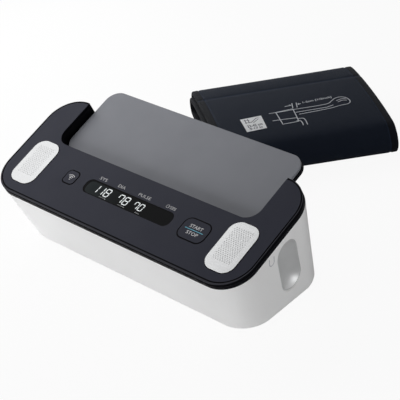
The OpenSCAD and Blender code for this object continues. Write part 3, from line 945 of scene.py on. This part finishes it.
@dataclass
class Buttons:
    """The words and signs on the two button caps."""
    words: tuple[tuple[str, Box], ...] = (
        ("START", Box(65.5, 78.3, 34.5, 37.4)), ("STOP", Box(66.4, 77.7, 28.7, 31.5)))
    weight: float = 0.008
    line: tuple[Point, ...] = ((62.6, 33.0), (80.6, 33.0))
    line_width: float = 0.55
    sign: Point = (-65.4, 30.9)
    sign_radii: tuple[float, ...] = (1.7, 3.1, 4.5)
    sign_width: float = 0.5

    def print_start(self) -> None:
        """Prints the words and the line on the start and stop button."""
        face = cover_frame(CAP_FACE + INK_RISE)
        bm = bmesh.new()
        for words, box in self.words:
            add_words(bm, words, box, self.weight)
        ink = Ink("button_ink", (0.6, 0.6, 0.61)).make()
        settle("start_stop_words", bm, face, ink, "start_stop_button")
        bm = bmesh.new()
        add_lines(bm, [list(self.line)], self.line_width)
        ink = Ink("teal_ink", (0.10, 0.42, 0.55)).make()
        settle("start_stop_line", bm, face, ink, "start_stop_button")

    def print_connection(self) -> None:
        """Prints three arcs over a dot on the connection button."""
        bm = bmesh.new()
        add_lines(bm, [arc(*self.sign, radius, 45, 135, 10) for radius in self.sign_radii], self.sign_width)
        add_lines(bm, [arc(*self.sign, self.sign_width/2, 0, 360, 10)], self.sign_width)
        ink = Ink("sign_ink", (0.72, 0.72, 0.73)).make()
        face = cover_frame(CAP_FACE + INK_RISE)
        settle("connection_sign", bm, face, ink, "connection_button")


@dataclass
class CaseMarks:
    """The small mark on the case's end and the foil plate under the case.

    Lengths are millimetres, apart from foil_y, the plate's place front to back, and under_face, the height of the
    case's under face, which are metres.
    """
    mark: Point = (-18.6, 57.6)
    mark_radius: float = 2.6
    mark_width: float = 0.6
    mark_rise: float = 0.88
    slant: Point = (-0.039, -0.013)
    foil_half: Point = (32, 14)
    foil_radius: float = 3
    foil_thickness: float = 0.12
    foil_y: float = -0.012
    under_face: float = 0.0008

    def add_wall_mark(self) -> None:
        """Lays a grey line in the shape of the small open loop on the right end wall, painted shade standing in for
        the shade along its embossed edge; the loop is drawn in toward its corners.
        """
        r, foot, top = self.mark_radius, -1.2, 3.2
        bm = bmesh.new()
        loop = [(-r, top), (-r, foot)] + arc(0, foot, r, 180, 360, 14) + [(r, top)]
        add_lines(bm, [loop], self.mark_width, 0.2)
        seat = Matrix(((1, 0, 0, 0), (0, 1, 0, 0), (*self.slant, 1, self.mark_rise), (0, 0, 0, 1)))
        # painted shade: the grey line stands for the shade along the embossed loop
        ink = Ink("painted_emboss_shade", (0.4, 0.4, 0.46)).make()
        settle("wall_mark", bm, end_frame(*self.mark) @ seat, ink, "monitor", True)

    def add_plate(self) -> None:
        """Fits the bare foil plate under the case."""
        bm = bmesh.new()
        bmesh.ops.create_grid(bm, x_segments=1, y_segments=1, size=1)
        bmesh.ops.scale(bm, vec=(*self.foil_half, 1), verts=bm.verts)
        raised(bm, self.foil_thickness)
        upright = [e for e in bm.edges if abs(e.verts[0].co.z - e.verts[1].co.z) > self.foil_thickness/2]
        bmesh.ops.bevel(bm, geom=upright, offset=self.foil_radius, offset_type="OFFSET", affect="EDGES",
                        segments=6, profile=0.5, material=-1)
        place = Matrix.Translation((0, self.foil_y, self.under_face)) @ Matrix.Scale(MM, 4)
        place = place @ Matrix.Translation((0, 0, -self.foil_thickness))
        foil = BareMetal("foil", (0.7, 0.7, 0.71), 0.45).make()
        settle("foil_plate", bm, place, foil, "monitor")


@dataclass
class Cuff:
    """The rolled upper-arm cuff: one long padded band with bound edges, wound flat, with its label and drawing.

    Lengths are millimetres. The start is the angle of the cloth's outer end round the roll, in degrees. The turn is
    how far the roll closes in one turn, and the creep how far one turn moves along it. The slip is how far the
    roll's back edge lies along it from its front edge. The seams are shares of the cloth's length.
    """
    width: float = 147.0
    depth: float = 127.0
    height: float = 42.0
    thickness: float = 4.0
    start: float = 250.0
    turn: float = 5.4
    turns: float = 2.03
    slip: float = 23.0
    creep: float = 3.0
    band: float = 6.0
    seam_dip: float = 0.7
    least_z: float = 0.02
    across: int = 70
    along: int = 190
    swell: float = 0.55
    frames: int = 14
    pen: float = 0.75
    print_rise: float = 0.1
    label_thickness: float = 0.3
    seams: tuple[float, ...] = (0.025, 0.302, 0.47, 0.975)
    label: tuple[Point, ...] = ((-39.4, -38.8), (-22.2, -37.5), (-25.5, -17.7), (-43.9, -18.9))

    def middle(self, p: float) -> Vector:
        """A point on the middle of the cloth.

        Args:
            p: from 0 at the outer end to 1 at the inner.
        Returns:
            The point as (y, z).
        """
        run, r0 = self.depth/2 - self.height/2, self.height/2 - self.thickness/2
        a, r = math.radians(self.start + 360*self.turns*p), r0 - self.turn*self.turns*p
        flat = run*max(-1.0, min(1.0, -1.5*math.cos(a)))
        return Vector((flat - r*math.cos(a), r0 + self.thickness/2 + r*math.sin(a)))

    def length(self) -> float:
        """The cloth's length along its middle."""
        return sum((self.middle((k + 1)/800) - self.middle(k/800)).length for k in range(800))

    def half_thickness(self, edge: float, p: float) -> float:
        """Half the cloth's thickness.

        Args:
            edge: distance from the nearer side edge.
            p: place along the cloth.
        Returns:
            The half thickness.
        """
        half = self.thickness/2 - 0.15*(1 - min(1.0, edge/self.band))
        half -= 0.5*math.exp(-((edge - self.band - 0.6)/0.7)**2)
        for at in self.seams:
            half -= self.seam_dip*math.exp(-((p - at)/0.0022)**2)
        round_end = min(1.0, edge/1.8 + 0.02)
        half *= math.sqrt(1 - (1 - round_end)**2)
        end = min(1.0, min(p, 1 - p)/0.0035 + 0.02)
        return max(0.25, half*math.sqrt(1 - (1 - end)**2))

    def point(self, u: float, p: float, side: float) -> Vector:
        """A point on the cloth.

        Args:
            u: place across it, from -0.5 to 0.5.
            p: place along it, from 0 to 1.
            side: 1 for its outer face, -1 for its inner.
        Returns:
            The point in the roll's frame.
        """
        y, z = self.middle(p)
        step = self.middle(min(1.0, p + 0.002)) - self.middle(max(0.0, p - 0.002))
        out = Vector((-step.y, step.x)).normalized()
        half = self.half_thickness((0.5 - abs(u))*self.width, p)*side
        x = u*self.width - self.slip*y/self.depth - self.creep*self.turns*(p - 0.2)
        return Vector((x, y + half*out.x, max(self.least_z, z + half*out.y)))

    def spread(self, count: int, near: tuple[float, ...], reach: float) -> list[float]:
        """Places from 0 to 1 with more of them near the sewn lines and both ends.

        Args:
            count: how many.
            near: the lines.
            reach: how near they draw them.
        Returns:
            The places in order.
        """
        parts = 2000
        fine = [0.0]
        for k in range(parts):
            t = (k + 0.5)/parts
            fine.append(fine[-1] + (1.0 + sum(5.0*math.exp(-((t - n)/reach)**2) for n in near)))
        out, k = [], 0
        for i in range(count + 1):
            while k < parts and fine[k + 1] < fine[-1]*i/count:
                k += 1
            step = fine[k + 1] - fine[k]
            out.append(min(1.0, (k + (fine[-1]*i/count - fine[k])/step)/parts))
        return out

    def weave(self, length: float) -> bpy.types.Object:
        """Makes the wound band as one closed skin with a cloth map in millimetres.

        Args:
            length: the cloth's length.
        Returns:
            The object.
        """
        edges = (0.0, (self.band + 0.6)/self.width, 1 - (self.band + 0.6)/self.width, 1.0)
        us = [t - 0.5 for t in self.spread(self.across, edges, 0.014)]
        ps = self.spread(self.along, self.seams + (0.0, 1.0), 0.006)
        bm = bmesh.new()
        cloth = bm.loops.layers.uv.new("cloth")
        bmesh.ops.create_grid(bm, x_segments=self.across, y_segments=self.along, size=1.0)
        for v in bm.verts:
            v.co = (round((v.co.x + 1)/2*self.across), round((v.co.y + 1)/2*self.along), 0)
        for face in bm.faces:
            for loop in face.loops:
                i, j = map(round, loop.vert.co.xy)
                loop[cloth].uv = (us[i]*self.width, ps[j]*length)
        lower = bm.verts[:]
        made = bmesh.ops.extrude_face_region(bm, geom=bm.faces[:])["geom"]
        upper = [v for v in made if isinstance(v, bmesh.types.BMVert)]
        for group, side in ((lower, -1.0), (upper, 1.0)):
            for v in group:
                i, j = map(round, v.co.xy)
                v.co = self.point(us[i], ps[j], side)
        bmesh.ops.transform(bm, matrix=cuff_frame(), verts=bm.verts)
        bmesh.ops.recalc_face_normals(bm, faces=bm.faces)
        mesh = bpy.data.meshes.new("cuff_cloth")
        bm.to_mesh(mesh)
        bm.free()
        for face in mesh.polygons:
            face.use_smooth = True
        piece = bpy.data.objects.new("cuff_cloth", mesh)
        bpy.context.scene.collection.objects.link(piece)
        return piece

    def puff(self, piece: bpy.types.Object, length: float) -> None:
        """Swells the padding between its sewn lines with a cloth simulation, held within a cap.

        Args:
            piece: the wound band.
            length: the cloth's length.
        """
        start = [v.co.copy() for v in piece.data.vertices]
        pins = piece.vertex_groups.new(name="sewn")
        uv = {}
        for loop in piece.data.loops:
            uv[loop.vertex_index] = piece.data.uv_layers[0].data[loop.index].uv.copy()
        for index, (x, y) in uv.items():
            edge, p = self.width/2 - abs(x), y/length
            if edge < self.band + 1.6 or min(abs(p - at) for at in self.seams + (0.0, 1.0)) < 0.004:
                pins.add([index], 1.0, "REPLACE")
        cloth = piece.modifiers.new("padding", "CLOTH")
        settings = cloth.settings
        settings.quality, settings.mass, settings.bending_stiffness = 4, 0.3, 2
        settings.tension_stiffness = settings.compression_stiffness = 30
        settings.vertex_group_mass = "sewn"
        settings.use_pressure, settings.uniform_pressure_force = True, 3.0
        settings.effector_weights.gravity = 0
        cloth.collision_settings.use_collision = False
        cloth.point_cache.frame_start, cloth.point_cache.frame_end = 1, self.frames
        for number in range(1, self.frames + 1):
            bpy.context.scene.frame_set(number)
        posed = piece.evaluated_get(bpy.context.evaluated_depsgraph_get()).data
        ends = [v.co.copy() for v in posed.vertices]
        piece.modifiers.remove(cloth)
        piece.vertex_groups.clear()
        bpy.context.scene.frame_set(1)
        moved = 0.0
        for v, a, b in zip(piece.data.vertices, start, ends):
            step = b - a
            if step.length > self.swell*MM:
                step = step.normalized()*self.swell*MM
            v.co = a + step
            v.co.z = max(v.co.z, self.least_z*MM)
            moved = max(moved, step.length)
        log.info("cuff padding swelled by up to %.2f mm", moved/MM)

    def drop(self, bm: bmesh.types.BMesh, tree: BVHTree, rise: float) -> None:
        """Lays flat shapes, drawn in the roll's frame, on top of the cloth.

        Args:
            bm: the shapes.
            tree: the cloth's surface.
            rise: how far they stand above it, in millimetres.
        """
        bmesh.ops.transform(bm, matrix=cuff_frame(), verts=bm.verts)
        for v in bm.verts:
            hit, *_ = tree.ray_cast(Vector((v.co.x, v.co.y, 0.08)), Vector((0, 0, -1)))
            if hit is not None:
                v.co.z += hit.z + rise*MM

    def onto_label(self, bm: bmesh.types.BMesh) -> None:
        """Moves shapes onto the label's place, in the roll's frame.

        Args:
            bm: the shapes, drawn in a square from 0 to 1.
        """
        corners = [Vector(corner) for corner in self.label]
        for v in bm.verts:
            near, far = corners[0].lerp(corners[1], v.co.x), corners[3].lerp(corners[2], v.co.x)
            v.co.xy = near.lerp(far, v.co.y)

    def add_label(self, tree: BVHTree) -> None:
        """Sews on the woven label and prints the arm's range and a small drawing of it.

        Args:
            tree: the cloth's surface.
        """
        bm = bmesh.new()
        bmesh.ops.create_grid(bm, x_segments=14, y_segments=14, size=0.5)
        bmesh.ops.translate(bm, vec=(0.5, 0.5, 0), verts=bm.verts)
        self.onto_label(bm)
        raised(bm, self.label_thickness)
        self.drop(bm, tree, 0.0)
        satin = WovenLabel("woven_label", (0.78, 0.79, 0.81)).make()
        settle("cuff_label", bm, Matrix.Identity(4), satin, "cuff")
        bm = bmesh.new()
        arm = [dense(line, 0.05) for line in (
            [(0.12, 0.66), (0.42, 0.62), (0.74, 0.88), (0.84, 0.86)],
            [(0.12, 0.84), (0.3, 0.84), (0.38, 0.8)],
            [(0.18, 0.92), (0.18, 0.6)],
            [(0.32, 0.92), (0.32, 0.6)],
            [(0.5, 0.56), (0.8, 0.78)])]
        add_lines(bm, arm, 0.035, 1.0)
        add_words(bm, "22-42 cm", Box(0.14, 0.88, 0.27, 0.45), 0.03)
        add_words(bm, "9-17 in", Box(0.18, 0.82, 0.07, 0.22), 0.03)
        self.onto_label(bm)
        self.drop(bm, tree, self.label_thickness + INK_RISE)
        ink = Ink("label_ink", (0.10, 0.10, 0.12), 0.6).make()
        settle("label_print", bm, Matrix.Identity(4), ink, "cuff")

    def add_drawing(self, tree: BVHTree) -> None:
        """Prints the line drawing of an arm in a cuff, with the distance that the cuff keeps from the elbow.

        Args:
            tree: the cloth's surface.
        """
        arm = smoothed([
            (-18.5, -16.4), (-4, -16.3), (6.6, -15.9), (20, -16.0), (32.4, -15.2), (36.4, -11.8), (39.7, -8.4),
            (44.6, -7.3), (48.6, -9.4), (51.2, -13.4), (51.8, -17.4), (49.6, -20.2), (43.4, -20.9), (33.5, -23.0),
            (20, -24.0), (6.9, -24.7)])
        inner_lines = [[(4.2, -21.0), (31.5, -20.6), (37.0, -18.6)], [(-16.5, -28.4), (4.2, -29.4)]]
        wrap = [(-12.6, -16.2), (-8.4, -35.8), (5.4, -35.2), (2.4, -14.6), (-12.6, -16.2)]
        tube = [smoothed([(4.0, -31.0), (9.0, -31.5), (11.0, -35.0), (12.0, -41.5)]),
                smoothed([(3.5, -34.0), (6.6, -34.6), (8.0, -38.0), (8.4, -41.5)])]
        measure = [[(6.4, -5.4), (6.4, -13.4)], [(2.6, -5.4), (2.6, -13.4)]]
        arrows = [[(-4.0, -8.9), (1.9, -8.5)], [(-0.2, -7.4), (1.9, -8.5)],
                  [(7.4, -8.4), (10.2, -8.2)], [(8.6, -7.2), (7.4, -8.4), (8.7, -9.4)]]
        fingers = [smoothed([(41.5, -15.0), (46.0, -13.4), (49.4, -14.2)], 4),
                   smoothed([(40.4, -12.6), (45.0, -10.8), (48.8, -11.4)], 4)]
        drawing = [arm, wrap, *inner_lines, *tube, *measure, *arrows, *fingers]
        bm = bmesh.new()
        add_words(bm, "1-2cm [1/2inch]", Box(12.0, 37.4, -9.0, -5.4), 0.02)
        climb = Matrix.Rotation(math.radians(4.5), 3, "Z")
        bmesh.ops.rotate(bm, cent=(12.0, -9.0, 0), matrix=climb, verts=bm.verts)
        add_lines(bm, [dense(line) for line in drawing], self.pen)
        self.drop(bm, tree, self.print_rise)
        ink = Ink("cloth_ink", (0.56, 0.58, 0.62), 0.6).make()
        settle("cuff_drawing", bm, Matrix.Identity(4), ink, "cuff")

    def build(self) -> None:
        """Makes the cuff in the place of its plain solid."""
        length = self.length()
        piece = self.weave(length)
        self.puff(piece, length)
        seams = tuple(at*length for at in self.seams)
        finish = WovenNylon("navy_nylon", (0.0052, 0.0080, 0.0150), (0.0032, 0.0038, 0.006), self.width/2,
                            self.band, seams)
        piece.data.materials.append(finish.make())
        shell = bmesh.new()
        shell.from_mesh(piece.data)
        tree = BVHTree.FromBMesh(shell)
        shell.free()
        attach(piece, "cuff")
        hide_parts("cuff_wrap")
        log.info("cuff_cloth: %d faces, %.0f mm long", len(piece.data.polygons), length)
        self.add_label(tree)
        self.add_drawing(tree)


@dataclass(frozen=True)
class SoftLamp:
    """A square soft lamp: its place, the point that it faces and its side in metres, and its power in watts."""
    name: str
    place: Colour
    aim: Colour
    size: float
    power: float

    def hang(self) -> None:
        """Hangs the lamp."""
        lamp = bpy.data.lights.new(self.name, "AREA")
        lamp.shape, lamp.size, lamp.energy = "SQUARE", self.size, self.power
        holder = bpy.data.objects.new(self.name, lamp)
        turn = (Vector(self.aim) - Vector(self.place)).to_track_quat("-Z", "Y")
        holder.matrix_world = Matrix.Translation(self.place) @ turn.to_matrix().to_4x4()
        bpy.context.scene.collection.objects.link(holder)


@dataclass
class Studio:
    """The floor, the lamps, the world and the camera. The three axes are the camera's right, up and back."""
    floor_half: float = 6.0
    floor_z: float = -0.0003
    floor_shade: float = 0.86
    floor_white: float = 0.93
    ambient: float = 0.1
    lens: float = 120.31
    eye: Colour = (0.685843, -0.543135, 0.622452)
    axes: tuple[Colour, ...] = (
        (0.714637, 0.682832, -0.151772), (-0.294789, 0.490760, 0.819911), (0.634345, -0.541198, 0.552006))
    lamps: tuple[SoftLamp, ...] = (
        SoftLamp("key", (-0.40, 0.06, 0.33), (-0.05, 0.0, 0.05), 0.58, 2.25),
        SoftLamp("front", (-0.35, -1.15, 0.08), (0, 0, 0.03), 0.8, 12.0),
        SoftLamp("end", (0.9, -0.15, 0.06), (0.1, 0, 0.03), 0.3, 2.8))

    def lay_floor(self) -> None:
        """Lays a plain pale floor that is white to the eye and still takes a soft shadow."""
        bm = bmesh.new()
        bmesh.ops.create_grid(bm, x_segments=1, y_segments=1, size=self.floor_half)
        mesh = bpy.data.meshes.new("floor")
        bm.to_mesh(mesh)
        bm.free()
        mesh.transform(Matrix.Translation((0, 0, self.floor_z)))
        floor = bpy.data.objects.new("floor", mesh)
        bpy.context.scene.collection.objects.link(floor)
        w = Wiring("pale_floor")
        w.dress(Base_Color=w.mottled(w.place(), 3, (self.floor_shade,)*3, 0.01), Roughness=0.9,
                Specular_IOR_Level=0.0)
        path = w.add("LightPath").outputs
        seen = w.sum("MAXIMUM", path["Is Camera Ray"], path["Is Transmission Ray"])
        white = w.add("Emission", {"Color": (1, 1, 1, 1), "Strength": 1.0}).outputs[0]
        share = w.sum("MULTIPLY", seen, self.floor_white)
        both = w.add("MixShader", {0: share, 1: w.shader.outputs[0], 2: white}).outputs[0]
        w.tree.links.new(both, w.tree.nodes["Material Output"].inputs["Surface"])
        mesh.materials.append(w.material)

    def light_world(self) -> None:
        """Makes the surroundings white to the eye and plain grey as a light."""
        world = bpy.data.worlds.new("studio")
        world.use_nodes = True
        nodes, links = world.node_tree.nodes, world.node_tree.links
        path = nodes.new("ShaderNodeLightPath").outputs
        seen = path["Is Camera Ray"]
        for ray in ("Is Glossy Ray", "Is Transmission Ray"):
            either = nodes.new("ShaderNodeMath")
            either.operation = "MAXIMUM"
            links.new(seen, either.inputs[0])
            links.new(path[ray], either.inputs[1])
            seen = either.outputs[0]
        strength = nodes.new("ShaderNodeMapRange")
        links.new(seen, strength.inputs[0])
        strength.inputs[3].default_value, strength.inputs[4].default_value = self.ambient, 1.0
        nodes["Background"].inputs[0].default_value = (1, 1, 1, 1)
        links.new(strength.outputs[0], nodes["Background"].inputs[1])
        bpy.context.scene.world = world

    def set_camera(self) -> None:
        """Sets the camera at the photograph's view."""
        camera = bpy.data.cameras.new("camera")
        camera.lens, camera.sensor_width, camera.clip_start = self.lens, 36.0, 0.01
        holder = bpy.data.objects.new("camera", camera)
        holder.matrix_world = Matrix.Translation(self.eye) @ Matrix(self.axes).transposed().to_4x4()
        bpy.context.scene.collection.objects.link(holder)
        bpy.context.scene.camera = holder

    def build(self) -> None:
        """Sets up the studio."""
        bpy.context.scene.view_settings.view_transform = "Standard"
        self.set_camera()
        self.lay_floor()
        self.light_world()
        for lamp in self.lamps:
            lamp.hang()


def main() -> None:
    """Builds the scene."""
    logging.basicConfig(level=logging.INFO, format="%(name)s %(message)s")
    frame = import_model()
    Studio().build()
    Body(frame).dress()
    figures = Figures()
    figures.light()
    figures.name()
    buttons = Buttons()
    buttons.print_start()
    buttons.print_connection()
    marks = CaseMarks()
    marks.add_wall_mark()
    marks.add_plate()
    Cuff().build()


if __name__ == "__main__":
    main()
